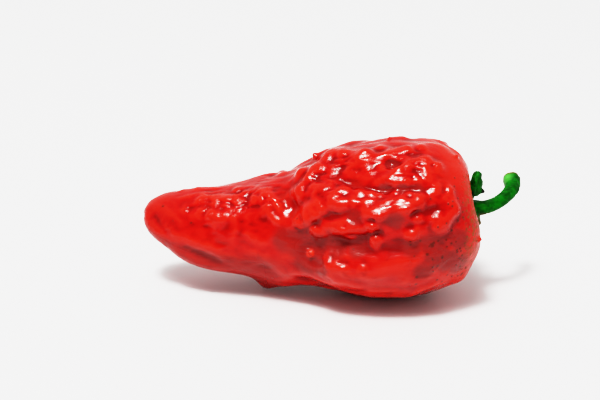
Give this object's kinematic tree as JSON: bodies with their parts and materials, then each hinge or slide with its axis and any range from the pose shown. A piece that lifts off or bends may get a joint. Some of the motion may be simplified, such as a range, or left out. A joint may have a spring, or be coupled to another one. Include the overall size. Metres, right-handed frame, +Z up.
{
  "type": "chilli pepper",
  "caption": "Ripe red chilli pepper with a lobed, wrinkled skin, a tapering tip and a green calyx with a short hooked stalk, lying on its side.",
  "frame": {"origin": "on the surface that the pepper lies on, under the middle of the whole pepper", "axes": "+X along the pepper from its tip to its stalk, +Y to the far side, +Z up"},
  "size_m": [0.0778, 0.0344, 0.0334],
  "materials": {
    "skin": "ripe red skin, waxy and glossy, with a few corky freckles round the calyx",
    "stalk": "fresh green stalk and calyx, satin, paler at the cut end"
  },
  "bodies": {
    "root": {"pod": "skin", "stalk": "stalk"}
  },
  "joints": []
}
